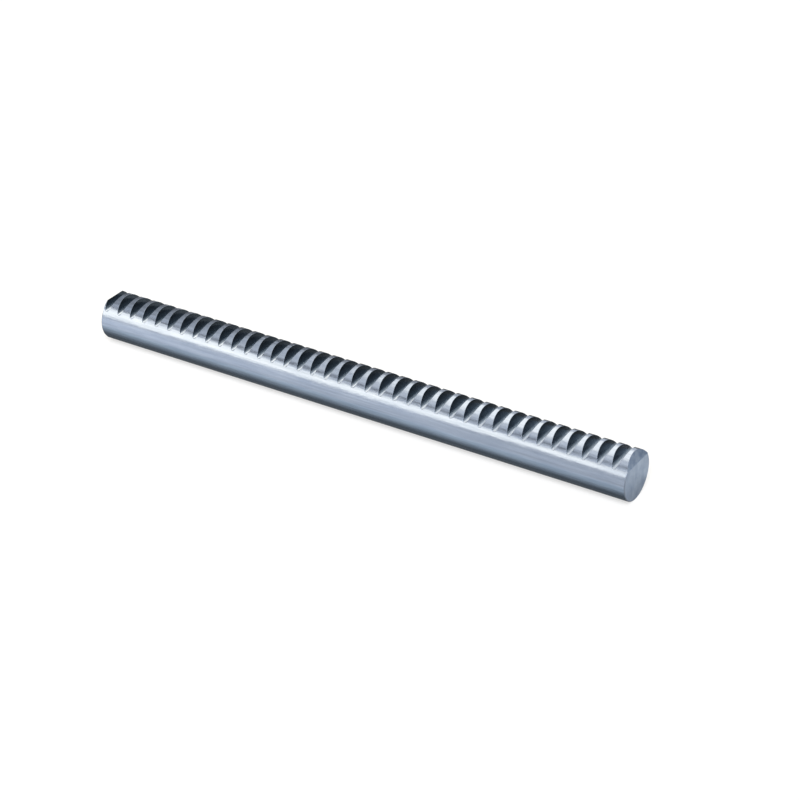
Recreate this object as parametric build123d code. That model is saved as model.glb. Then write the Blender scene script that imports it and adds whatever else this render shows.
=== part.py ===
from build123d import *
import math
import os

# Gear rack cut in a round steel bar: a bright drawn bar with straight rack
# teeth milled square across its top. It is one piece of steel.
# Millimetres. The bar lies along X with its near end at +X, the teeth face
# up (+Z), and the origin is on the bar's axis, halfway along its length.

# The bar
bar_diameter = 25.0
bar_length = 300.0
end_chamfer = 0.5            # edge broken at both sawn ends

# The teeth, to the standard basic rack of their module
module = 2.5                 # the pinion that runs on the rack has the same
pressure_angle = 20.0        # lean of each flank from square, in degrees
addendum = 1.0 * module      # tooth height above the pitch line
dedendum = 1.25 * module     # tooth height below the pitch line
root_radius = 0.38 * module  # round at the foot of each flank
pitch = math.pi * module     # from one tooth to the next, along the bar

# How the teeth stand along the bar. The stock was toothed before it was cut
# to length, so the near end face falls just short of a tooth space's middle.
near_end_trim = 0.75         # from the near end face out to that middle

# Heights above the bar's axis. The tips are the bar's own round crest.
bar_radius = bar_diameter / 2
pitch_line_height = bar_radius - addendum
root_height = pitch_line_height - dedendum

near_end_x = bar_length / 2
cutter_overrun = module      # how far the cutter stands clear of the bar


def half_gap(height):
    """Half the width of a tooth space at a height above the bar's axis."""
    lean = math.tan(math.radians(pressure_angle))
    return pitch / 4 + (height - pitch_line_height) * lean


def round_bar():
    """The plain bar, turned about X, with the edge of both ends broken."""
    bar = Cylinder(bar_radius, bar_length, rotation=(0, 90, 0))
    end_edges = bar.edges().filter_by(GeomType.CIRCLE)
    return chamfer(end_edges, end_chamfer)


def space_cutter():
    """The cutter's section, swept square across the bar: one tooth space."""
    top = bar_radius + cutter_overrun
    corners = [
        (-half_gap(top), top),
        (-half_gap(root_height), root_height),
        (half_gap(root_height), root_height),
        (half_gap(top), top),
    ]
    section = Plane.XZ * make_face(Polyline(*corners, close=True))
    feet = section.vertices().sort_by(Axis.Z)[:2]
    section = fillet(feet, root_radius)
    return extrude(section, bar_radius + cutter_overrun, both=True)


def space_middles():
    """X of each tooth space's middle, from the near end to the far one."""
    reach = bar_length + near_end_trim + half_gap(bar_radius)
    first = near_end_x + near_end_trim
    return [first - pitch * count for count in range(math.ceil(reach / pitch))]


def toothed_bar():
    """The bar with every tooth space cut in it."""
    cutter = space_cutter()
    return round_bar() - [Pos(x, 0, 0) * cutter for x in space_middles()]


os.makedirs("parts", exist_ok=True)
rack = toothed_bar()
export_step(rack, "parts/rack_bar.step")

print("pitch", round(pitch, 4), "pitch line above the axis", pitch_line_height)
print("root above the axis", root_height, "tooth spaces", len(space_middles()))
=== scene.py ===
import math

import bpy
from mathutils import Matrix, Vector


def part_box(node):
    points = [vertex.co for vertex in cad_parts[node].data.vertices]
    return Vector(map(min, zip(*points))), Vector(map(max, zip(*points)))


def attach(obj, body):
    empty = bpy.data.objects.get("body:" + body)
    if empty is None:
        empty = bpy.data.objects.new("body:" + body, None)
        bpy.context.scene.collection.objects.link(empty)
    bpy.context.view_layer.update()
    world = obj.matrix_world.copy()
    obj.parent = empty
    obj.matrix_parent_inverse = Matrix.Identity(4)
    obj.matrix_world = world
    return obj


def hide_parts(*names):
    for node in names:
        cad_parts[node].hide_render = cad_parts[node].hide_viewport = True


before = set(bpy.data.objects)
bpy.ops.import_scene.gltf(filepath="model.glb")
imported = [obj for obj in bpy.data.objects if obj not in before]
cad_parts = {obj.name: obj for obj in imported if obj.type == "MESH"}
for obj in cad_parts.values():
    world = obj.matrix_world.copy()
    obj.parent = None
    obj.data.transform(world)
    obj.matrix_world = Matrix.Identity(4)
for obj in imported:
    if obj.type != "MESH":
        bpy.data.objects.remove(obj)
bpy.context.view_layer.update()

bar_low, bar_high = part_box("rack_bar")


# The camera
# It looks down on the bar from the front right, near end first, as the
# photograph does. The photograph's own pixels place the near end face.
photo_side = 800
focal_pixels = 2368
azimuth = math.radians(31.79)
elevation = math.radians(30.05)
near_end_pixel = (637.15, 475.99)
pixels_per_metre = 2183              # of the photograph, at the near end face
film_width = 36                      # millimetres

back = Vector((math.sin(azimuth) * math.cos(elevation),
               -math.cos(azimuth) * math.cos(elevation),
               math.sin(elevation)))
right = Vector((math.cos(azimuth), math.sin(azimuth), 0))
up = back.cross(right)
near_end = Vector((bar_high.x, 0, 0))
aside = (near_end_pixel[0] - photo_side / 2) / pixels_per_metre
below = (near_end_pixel[1] - photo_side / 2) / pixels_per_metre
bpy.ops.object.camera_add()
camera = bpy.context.object
camera.name = "photo_camera"
camera.matrix_world = Matrix.Translation(
    near_end + back * focal_pixels / pixels_per_metre - right * aside + up * below
) @ Matrix((right, up, back)).transposed().to_4x4()
camera.data.sensor_width = film_width
camera.data.lens = focal_pixels / photo_side * film_width
camera.data.clip_start = 0.05
camera.data.clip_end = 50
bpy.context.scene.camera = camera


# The studio
# A table that shows white, in a white room. The key light comes over the camera's
# shoulder, so the bar's shade falls behind it. Soft boxes give the bar its bright
# lines, and the cards are there for the metal alone to mirror.
scene = bpy.context.scene
scene.view_settings.view_transform = "Standard"
table_side = 6.0
table_grey = (0.42, 0.42, 0.42, 1)
table_glow = 0.58                    # makes the grey up to white where it is seen
room_fill = 0.2                      # what the room gives to matt surfaces
key_side = math.radians(30)
key_height = math.radians(46)
key_spread = math.radians(36)
key_strength = 3.3
lamp_colour = (1.0, 0.87, 0.66)      # warm, so that the blue-grey steel shines white


def where_seen(tree, unseen, seen):
    """One strength for what is seen or mirrored, and another for the light it gives."""
    ray = tree.nodes.new("ShaderNodeLightPath")
    direct = tree.nodes.new("ShaderNodeMath")
    direct.operation = "MAXIMUM"
    mirrored = tree.nodes.new("ShaderNodeMath")
    mirrored.operation = "MAXIMUM"
    strength = tree.nodes.new("ShaderNodeMapRange")
    strength.inputs["To Min"].default_value = unseen
    strength.inputs["To Max"].default_value = seen
    tree.links.new(ray.outputs["Is Camera Ray"], direct.inputs[0])
    tree.links.new(ray.outputs["Is Glossy Ray"], direct.inputs[1])
    tree.links.new(direct.outputs[0], mirrored.inputs[0])
    tree.links.new(ray.outputs["Is Transmission Ray"], mirrored.inputs[1])
    tree.links.new(mirrored.outputs[0], strength.inputs["Value"])
    return strength.outputs["Result"]


bpy.ops.mesh.primitive_plane_add(size=table_side, location=(0, 0, bar_low.z))
table = bpy.context.object
table.name = "table"
table_paint = bpy.data.materials.new("table_paint")
table_paint.use_nodes = True
table_shader = table_paint.node_tree.nodes["Principled BSDF"]
table_shader.inputs["Base Color"].default_value = table_grey
table_shader.inputs["Roughness"].default_value = 0.9
table_shader.inputs["Specular IOR Level"].default_value = 0.1
table_shader.inputs["Emission Color"].default_value = (1, 1, 1, 1)
table_paint.node_tree.links.new(
    where_seen(table_paint.node_tree, 0.0, table_glow), table_shader.inputs["Emission Strength"])
table.data.materials.append(table_paint)

room = bpy.data.worlds.new("white_room")
scene.world = room
room.use_nodes = True
room_light = room.node_tree.nodes["Background"]
room_light.inputs["Color"].default_value = (1, 1, 1, 1)
room.node_tree.links.new(
    where_seen(room.node_tree, room_fill, 1.0), room_light.inputs["Strength"])

bpy.ops.object.light_add(type="SUN", rotation=(math.pi / 2 - key_height, 0, key_side))
key_light = bpy.context.object
key_light.name = "key_light"
key_light.data.energy = key_strength
key_light.data.angle = key_spread


def hang(thing, name, place, aim, along):
    """Names a lamp or card and turns it: its front to the aim, its width along a line."""
    thing.name = name
    side = Vector(along).normalized()
    away = Vector(place) - Vector(aim)
    away = (away - side * away.dot(side)).normalized()
    turned = Matrix((side, away.cross(side), away)).transposed().to_4x4()
    thing.matrix_world = Matrix.Translation(place) @ turned


def softbox(name, place, aim, along, width, height, brightness):
    """A soft lamp; brightness is how much it adds to what is mirrored, 1 being white."""
    bpy.ops.object.light_add(type="AREA")
    lamp = bpy.context.object
    hang(lamp, name, place, aim, along)
    lamp.data.shape = "RECTANGLE"
    lamp.data.size = width
    lamp.data.size_y = height
    lamp.data.energy = brightness * math.pi * width * height
    lamp.data.color = lamp_colour
    lamp.visible_camera = False


def card(name, place, aim, along, width, height, paper):
    """A flat card that shows in the metal only, and takes no light from the rest."""
    bpy.ops.mesh.primitive_plane_add(size=1)
    board = bpy.context.object
    hang(board, name, place, aim, along)
    board.scale = (width, height, 1)
    board.data.materials.append(paper)
    board.visible_camera = False
    board.visible_diffuse = False
    board.visible_shadow = False


def card_paper(name, shade, right_shade=None, hue=(1, 1, 1)):
    """Paper of an even shade as the metal sees it, or of a shade that runs to another."""
    paper = bpy.data.materials.new(name)
    paper.use_nodes = True
    nodes, links = paper.node_tree.nodes, paper.node_tree.links
    shader = nodes["Principled BSDF"]
    shader.inputs["Base Color"].default_value = (0, 0, 0, 1)
    shader.inputs["Roughness"].default_value = 1.0
    shader.inputs["Specular IOR Level"].default_value = 0.0
    shader.inputs["Emission Color"].default_value = (*hue, 1)
    shader.inputs["Emission Strength"].default_value = shade
    if right_shade is not None:
        place = nodes.new("ShaderNodeTexCoord")
        split = nodes.new("ShaderNodeSeparateXYZ")
        run = nodes.new("ShaderNodeMapRange")
        run.inputs["From Min"].default_value = -0.5      # the card's left edge
        run.inputs["From Max"].default_value = 0.5       # and its right edge
        run.inputs["To Min"].default_value = shade
        run.inputs["To Max"].default_value = right_shade
        links.new(place.outputs["Object"], split.inputs[0])
        links.new(split.outputs["X"], run.inputs["Value"])
        links.new(run.outputs["Result"], shader.inputs["Emission Strength"])
    return paper


# The long bright line on the bar's shoulder, and the softer ones on its crest
to_right = (1, 0, 0)
shoulder_place = (-0.347, -0.661, 0.318)
shoulder_line = (0.367, -0.884, 0.289)
softbox("shoulder_light", shoulder_place, (0, 0, 0), shoulder_line, 0.84, 0.33, 1.82)
softbox("crest_light", (-0.16, 0.272, 0.535), (-0.16, 0, 0), to_right, 0.30, 0.79, 1.6)
softbox("crest_fill", (-0.20, -0.165, 0.577), (-0.20, 0, 0), to_right, 0.45, 0.21, 0.32)

table_top = bar_low.z
card_lift = 0.0001                   # how far a card that lies on the table is off it

# Cards that stand behind the bar: the low one darkens the milled flanks, and
# the others shade the roots and the crest, darkest at the far end
low_middle = Vector((0.0305, 0.06, table_top + 0.013))
card("low_card", low_middle, (low_middle.x, 0, low_middle.z), to_right, 0.321, 0.026,
     card_paper("low_shade", 0.12))
back_cards = ((-0.45, -0.115, 0.28), (-0.115, -0.045, 0.43), (-0.045, 0.02, 0.85))
for count, (left, right_end, shade) in enumerate(back_cards):
    middle = Vector(((left + right_end) / 2, 0.15, table_top + 0.06))
    card(f"back_card_{count + 1}", middle, middle - Vector((0, 1, 0)), to_right,
         right_end - left, 0.12, card_paper(f"back_shade_{count + 1}", shade))

# Strips that lie along the bar's front: the shade that its lower side mirrors,
# darkest next to the bar
bar_length = bar_high.x - bar_low.x
shaded_hue = (0.92, 1.0, 1.03)       # a shade on the floor is bluer than the lamps
floor_strips = (
    (0.0, 0.0128, 0.15), (0.0128, 0.0150, 0.30), (0.0150, 0.0172, 0.44),
    (0.0172, 0.0196, 0.62), (0.0196, 0.0230, 0.80), (0.0230, 0.0280, 0.93))
for count, (near_line, far_line, shade) in enumerate(floor_strips):
    middle = Vector((-0.015, -(near_line + far_line) / 2, table_top + card_lift))
    card(f"floor_card_{count + 1}", middle, middle - Vector((0, 0, 1)), to_right,
         bar_length + 0.03, far_line - near_line,
         card_paper(f"floor_shade_{count + 1}", shade, hue=shaded_hue))

# Cards before the bar, one laid flat and one standing low on it, which the
# bar's side mirrors, brightest at the left
front_middle = Vector((-0.175, -0.464, table_top + card_lift))
card("front_card", front_middle, front_middle - Vector((0, 0, 1)), to_right, 0.85, 0.872,
     card_paper("front_shade", 1.79, 0.79))
low_front_middle = Vector((-0.25, -0.6, table_top + 0.045))
card("low_front_card", low_front_middle, (low_front_middle.x, 0, low_front_middle.z), to_right,
     0.62, 0.09, card_paper("low_front_shade", 1.3, 0.62))

# Strips at the foot of the near end face, for what it mirrors
end_strips = ((0.0, 0.006, 0.62), (0.006, 0.012, 0.9))
for count, (near_line, far_line, shade) in enumerate(end_strips):
    middle = Vector((bar_high.x + (near_line + far_line) / 2, 0, table_top + card_lift))
    card(f"end_card_{count + 1}", middle, middle - Vector((0, 0, 1)), to_right,
         far_line - near_line, 0.04, card_paper(f"end_shade_{count + 1}", shade))

# The black flag draws the dark line above the shoulder's bright one. The grey
# card dims the crest at the far end.
card("flag", (-0.4745, -0.538, 0.794), (0, 0, 0), (0.936, -0.35, -0.024), 0.66, 0.12,
     card_paper("black_paper", 0.01))
card("grey_card", (-0.45, 0.22, 0.395), (0, 0.22, 0.395), (0, 1, 0), 0.6, 0.37,
     card_paper("grey_paper", 0.45))


# The toothed bar
# One length of bright drawn round steel. Its tooth spaces are milled square
# across the crest with a form cutter, then it is sawn off and its edges broken.
bar_radius = (bar_high.z - bar_low.z) / 2
module = 0.0025
pitch = math.pi * module
pressure_angle = math.radians(20)
pitch_line = bar_radius - module
root_line = pitch_line - 1.25 * module
root_round = 0.38 * module           # at the foot of each flank
root_steps = 6
near_end_trim = 0.00075              # from the near end face out to a space's middle
round_steps = 240
end_break = 0.0005
edge_break = 0.0001                  # along the teeth
thin_zone = 0.0009                   # this near to an end a tooth's edge is left sharp
thin_margin = 0.0002                 # from this far below the root line up
cutter_top = bar_radius + 0.001
overrun = 0.002                      # how far the cutter stands clear of the bar's sides
merge_distance = 0.00003             # slivers of the cut narrower than this are closed
hair = 0.00001                       # two places nearer than this are the same


def half_gap(height):
    """Half the width of a tooth space at a height above the bar's axis."""
    return pitch / 4 + (height - pitch_line) * math.tan(pressure_angle)


def select_only(piece):
    """Makes one piece the only selected and active one."""
    bpy.ops.object.select_all(action="DESELECT")
    piece.select_set(True)
    bpy.context.view_layer.objects.active = piece


def select_parts(piece, edges=None, faces=None):
    """Selects the edges or faces of a piece that a test picks, and goes into edit mode."""
    select_only(piece)
    mesh = piece.data
    bpy.ops.object.mode_set(mode="EDIT")
    bpy.ops.mesh.select_mode(type="EDGE" if edges else "FACE")
    bpy.ops.mesh.select_all(action="DESELECT")
    bpy.ops.object.mode_set(mode="OBJECT")
    if edges:
        for edge in mesh.edges:
            ends = [mesh.vertices[v].co for v in edge.vertices]
            edge.select = edges(ends[0], ends[1])
    if faces:
        for face in mesh.polygons:
            face.select = faces(face)
    bpy.ops.object.mode_set(mode="EDIT")


def apply_modifier(piece, kind, **settings):
    """Adds one modifier to a piece and applies it."""
    select_only(piece)
    modifier = piece.modifiers.new(kind.lower(), kind)
    for name, value in settings.items():
        setattr(modifier, name, value)
    bpy.ops.object.modifier_apply(modifier=modifier.name)


bpy.ops.object.select_all(action="DESELECT")
bpy.ops.mesh.primitive_cylinder_add(
    vertices=round_steps, radius=bar_radius, depth=bar_length, rotation=(0, math.pi / 2, 0))
bar = bpy.context.object
bar.name = "toothed_bar"
bpy.ops.object.transform_apply(location=True, rotation=True, scale=True)

cutter_height = cutter_top - root_line
bpy.ops.object.select_all(action="DESELECT")
bpy.ops.mesh.primitive_cube_add(
    size=1,
    location=(bar_high.x + near_end_trim, 0, root_line + cutter_height / 2),
    scale=(2 * half_gap(cutter_top), 2 * (bar_radius + overrun), cutter_height))
cutter = bpy.context.object
cutter.name = "form_cutter"
bpy.ops.object.transform_apply(location=True, rotation=True, scale=True)
select_parts(cutter, faces=lambda face: face.normal.z < -0.9)
bpy.ops.transform.resize(
    value=(half_gap(root_line) / half_gap(cutter_top), 1, 1),
    center_override=(bar_high.x + near_end_trim, 0, root_line))
bpy.ops.object.mode_set(mode="OBJECT")
select_parts(
    cutter, edges=lambda a, b: max(a.z, b.z) < root_line + hair and abs(a.x - b.x) < hair)
foot_offset = root_round / math.tan((math.pi / 2 + pressure_angle) / 2)
bpy.ops.mesh.bevel(offset=foot_offset, segments=root_steps, profile=0.5, affect="EDGES")
bpy.ops.object.mode_set(mode="OBJECT")
spaces = math.ceil((bar_length + near_end_trim + half_gap(bar_radius)) / pitch)
apply_modifier(
    cutter, "ARRAY", count=spaces, use_relative_offset=False, use_constant_offset=True,
    constant_offset_displace=(-pitch, 0, 0))
apply_modifier(bar, "BOOLEAN", operation="DIFFERENCE", object=cutter, solver="EXACT")
bpy.data.objects.remove(cutter)

select_parts(bar, faces=lambda face: True)
bpy.ops.mesh.remove_doubles(threshold=merge_distance)
bpy.ops.object.mode_set(mode="OBJECT")

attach(bar, "root")
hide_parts("rack_bar")


# The toothed bar's finishes
# The outside is drawn bright and has fine lines along the bar. The milled
# flanks and the ends are the same steel, marked by the cutter and the saw.
drawn_colour = (0.383, 0.445, 0.55)
# Milled flanks: this pale colour, left whole at the foot, is painted light; towards the tip it is
# darkened as painted shade
milled_colour_painted_pale = (0.64, 0.70, 0.76)
sawn_colour = (0.315, 0.39, 0.495)
faced_colour = (0.305, 0.375, 0.475)
# The roots are painted paler than the drawn steel, a painted highlight; their roughness is the
# cutter's
root_colour_painted_highlight = (0.69, 0.75, 0.82)
# The broken edges are painted dark, painted shade that keeps glints off them
edge_colour_painted_dark = (0.24, 0.28, 0.35)
stain_hue = (1.15, 1.0, 0.75)        # a stain takes away more red than blue
darkest_line, palest_line = 0.25, 0.7
darkest_patch, palest_patch = 0.3, 0.7
flank_middle_painted_shade = (0.45, 0.50, 0.54)    # painted shade on a milled flank part of the way up and darker painted shade at its tip; its foot has none
flank_tip_painted_shade = (0.12, 0.14, 0.155)      # and at its tip; its foot has none
middle_shade_share = 0.3                   # how far up the middle painted shade stands
foot_height = 0.002                  # a milled flank is rougher below this height
foot_roughness = 0.3                 # by this much, at its very foot


def fine_lines():
    """A node group: lines drawn out along one direction, and broader uneven patches."""
    group = bpy.data.node_groups.new("fine_lines", "ShaderNodeTree")
    sockets = group.interface
    nodes, links = group.nodes, group.links
    given = nodes.new("NodeGroupInput")
    made = nodes.new("NodeGroupOutput")
    place = nodes.new("ShaderNodeTexCoord")
    tones = (("Line Stretch", "Lines", 5.0), ("Patch Stretch", "Patches", 3.0))
    for stretch_name, tone_name, detail in tones:
        sockets.new_socket(stretch_name, in_out="INPUT", socket_type="NodeSocketVector")
        sockets.new_socket(tone_name, in_out="OUTPUT", socket_type="NodeSocketFloat")
        scale = nodes.new("ShaderNodeVectorMath")
        scale.operation = "MULTIPLY"
        noise = nodes.new("ShaderNodeTexNoise")
        noise.inputs["Scale"].default_value = 1.0
        noise.inputs["Detail"].default_value = detail
        noise.inputs["Roughness"].default_value = 0.65
        links.new(place.outputs["Object"], scale.inputs[0])
        links.new(given.outputs[stretch_name], scale.inputs[1])
        links.new(scale.outputs["Vector"], noise.inputs["Vector"])
        links.new(noise.outputs["Fac"], made.inputs[tone_name])
    return group


lines = fine_lines()


def steel_finish(name, colour, line_stretch, dark, roughness, line_depth, patch_stretch, stain,
                 wave_depth=0.0, painted_flank_shades=None):
    """One finish of the steel: its lines tint it, roughen it and stand in relief.

    dark is the darkest line's share of the colour, and stain how much the patches
    take away. The flank tints are painted shade, of a flank part of the way up and at its tip.
    """
    finish = bpy.data.materials.new(name)
    finish.use_nodes = True
    nodes, links = finish.node_tree.nodes, finish.node_tree.links
    shader = nodes["Principled BSDF"]
    shader.inputs["Metallic"].default_value = 1.0
    marks = nodes.new("ShaderNodeGroup")
    marks.node_tree = lines
    marks.inputs["Line Stretch"].default_value = line_stretch
    marks.inputs["Patch Stretch"].default_value = patch_stretch
    tint = nodes.new("ShaderNodeValToRGB")
    tint.color_ramp.elements[0].position = darkest_line
    tint.color_ramp.elements[0].color = [dark * c for c in colour] + [1]
    tint.color_ramp.elements[1].position = palest_line
    tint.color_ramp.elements[1].color = [*colour, 1]
    stained = nodes.new("ShaderNodeValToRGB")
    stained.color_ramp.elements[0].position = darkest_patch
    stained.color_ramp.elements[0].color = [1 - stain * share for share in stain_hue] + [1]
    stained.color_ramp.elements[1].position = palest_patch
    stained.color_ramp.elements[1].color = (1, 1, 1, 1)
    colour_mix = nodes.new("ShaderNodeMix")
    colour_mix.data_type = "RGBA"
    colour_mix.blend_type = "MULTIPLY"
    colour_mix.inputs["Factor"].default_value = 1.0
    rough = nodes.new("ShaderNodeMapRange")
    rough.inputs["To Min"].default_value = roughness[0]
    rough.inputs["To Max"].default_value = roughness[1]
    bump = nodes.new("ShaderNodeBump")
    bump.inputs["Strength"].default_value = 1.0
    bump.inputs["Distance"].default_value = line_depth
    relief = nodes.new("ShaderNodeMath")
    relief.operation = "MULTIPLY_ADD"
    relief.inputs[1].default_value = wave_depth / line_depth
    links.new(marks.outputs["Patches"], relief.inputs[0])
    links.new(marks.outputs["Lines"], relief.inputs[2])
    links.new(relief.outputs[0], bump.inputs["Height"])
    links.new(marks.outputs["Lines"], tint.inputs["Fac"])
    links.new(marks.outputs["Lines"], rough.inputs["Value"])
    links.new(marks.outputs["Patches"], stained.inputs["Fac"])
    links.new(tint.outputs["Color"], colour_mix.inputs[6])
    links.new(stained.outputs["Color"], colour_mix.inputs[7])
    links.new(rough.outputs["Result"], shader.inputs["Roughness"])
    if painted_flank_shades is None:
        links.new(colour_mix.outputs[2], shader.inputs["Base Color"])
    else:
        # Painted shade: the flank darkens towards its tip by height, and its pale foot is painted
        # light
        place = nodes.new("ShaderNodeTexCoord")
        split = nodes.new("ShaderNodeSeparateXYZ")
        height = nodes.new("ShaderNodeMapRange")
        height.inputs["From Min"].default_value = root_line
        height.inputs["From Max"].default_value = bar_radius
        flank_shade_ramp = nodes.new("ShaderNodeValToRGB")
        flank_shade_ramp.color_ramp.elements[0].color = (1, 1, 1, 1)
        flank_shade_ramp.color_ramp.elements[1].color = (*painted_flank_shades[1], 1)
        middle_stop = flank_shade_ramp.color_ramp.elements.new(middle_shade_share)
        middle_stop.color = (*painted_flank_shades[0], 1)
        flank_shade_mix = nodes.new("ShaderNodeMix")
        flank_shade_mix.data_type = "RGBA"
        flank_shade_mix.blend_type = "MULTIPLY"
        flank_shade_mix.inputs["Factor"].default_value = 1.0
        foot_rough = nodes.new("ShaderNodeMapRange")
        foot_rough.inputs["From Min"].default_value = root_line
        foot_rough.inputs["From Max"].default_value = root_line + foot_height
        foot_rough.inputs["To Min"].default_value = foot_roughness
        foot_rough.inputs["To Max"].default_value = 0.0
        rougher = nodes.new("ShaderNodeMath")
        links.new(split.outputs["Z"], foot_rough.inputs["Value"])
        links.new(foot_rough.outputs["Result"], rougher.inputs[0])
        links.new(rough.outputs["Result"], rougher.inputs[1])
        links.new(rougher.outputs[0], shader.inputs["Roughness"])
        links.new(place.outputs["Object"], split.inputs[0])
        links.new(split.outputs["Z"], height.inputs["Value"])
        links.new(height.outputs["Result"], flank_shade_ramp.inputs["Fac"])
        links.new(colour_mix.outputs[2], flank_shade_mix.inputs[6])
        links.new(flank_shade_ramp.outputs["Color"], flank_shade_mix.inputs[7])
        links.new(flank_shade_mix.outputs[2], shader.inputs["Base Color"])
    links.new(bump.outputs["Normal"], shader.inputs["Normal"])
    return finish


bar.data.materials.clear()
bar.data.materials.append(steel_finish(
    "drawn_steel", drawn_colour, line_stretch=(18, 1000, 1000), dark=0.77, roughness=(0.16, 0.30),
    line_depth=4e-6, patch_stretch=(60, 260, 260), stain=0.14, wave_depth=130e-6))
# The milled flanks carry painted shade towards their tips and a painted pale foot
bar.data.materials.append(steel_finish(
    "milled_steel_painted_light_and_shade", milled_colour_painted_pale, line_stretch=(300, 3500, 150), dark=0.6, roughness=(0.14, 0.24),
    line_depth=4e-6, patch_stretch=(400, 400, 300), stain=0.2, wave_depth=4e-6,
    painted_flank_shades=(flank_middle_painted_shade, flank_tip_painted_shade)))
bar.data.materials.append(steel_finish(
    "sawn_steel", sawn_colour, line_stretch=(3000, 1600, 90), dark=0.8, roughness=(0.26, 0.42),
    line_depth=6e-6, patch_stretch=(220, 220, 130), stain=0.34))
bar.data.materials.append(steel_finish(
    "faced_steel", faced_colour, line_stretch=(3000, 3000, 120), dark=0.8, roughness=(0.38, 0.5),
    line_depth=4e-6, patch_stretch=(250, 250, 250), stain=0.45))
# Broken edges: their dark colour is painted shade against glints
bar.data.materials.append(steel_finish(
    "broken_edge_painted_shade", edge_colour_painted_dark, line_stretch=(800, 800, 800), dark=0.9, roughness=(0.4, 0.55),
    line_depth=2e-6, patch_stretch=(200, 200, 200), stain=0.1))
# Root steel: its pale colour is a painted highlight
bar.data.materials.append(steel_finish(
    "root_steel_painted_highlight", root_colour_painted_highlight, line_stretch=(300, 3500, 300), dark=0.85, roughness=(0.42, 0.55),
    line_depth=4e-6, patch_stretch=(300, 300, 300), stain=0.25))
drawn, milled, sawn, faced, broken, root = range(6)

square_on = 0.999                    # an end face's normal along the bar is more than this
root_finish_top = root_line + 0.3 * root_round
for face in bar.data.polygons:
    inside_round = bar_radius - Vector((face.center.y, face.center.z)).length
    at_near_end = face.center.x > bar_high.x - pitch / 4
    if abs(face.normal.x) > square_on:
        face.material_index = sawn
    elif face.center.z > root_line - hair and inside_round > hair:
        if at_near_end:
            face.material_index = faced
        elif face.center.z < root_finish_top:
            face.material_index = root
        else:
            face.material_index = milled
    else:
        face.material_index = drawn

# Every sharp edge is broken: by edge_break along the teeth, and by end_break
# round the two ends
sharp_turn = math.radians(25)
smooth_turn = math.radians(35)
faces_of = {}
for face in bar.data.polygons:
    for key in face.edge_keys:
        faces_of.setdefault(key, []).append(face)
breaks = bar.data.attributes.new("bevel_weight_edge", "FLOAT", "EDGE")
for edge in bar.data.edges:
    ends = [bar.data.vertices[v].co for v in edge.vertices]
    one, other = faces_of[edge.key]
    too_thin = (max(abs(end.x) for end in ends) > bar_high.x - thin_zone
                and min(end.z for end in ends) > root_line - thin_margin)
    if one.normal.angle(other.normal) > sharp_turn and not too_thin:
        at_end = min(abs(end.x) for end in ends) > bar_high.x - hair
        on_round = min(Vector((end.y, end.z)).length for end in ends) > bar_radius - hair
        breaks.data[edge.index].value = 1.0 if at_end and on_round else edge_break / end_break
apply_modifier(
    bar, "BEVEL", width=end_break, segments=2, limit_method="WEIGHT",
    use_clamp_overlap=False, harden_normals=False, material=broken)
select_only(bar)
bpy.ops.object.shade_smooth_by_angle(angle=smooth_turn)
apply_modifier(bar, "WEIGHTED_NORMAL", mode="FACE_AREA", keep_sharp=True)
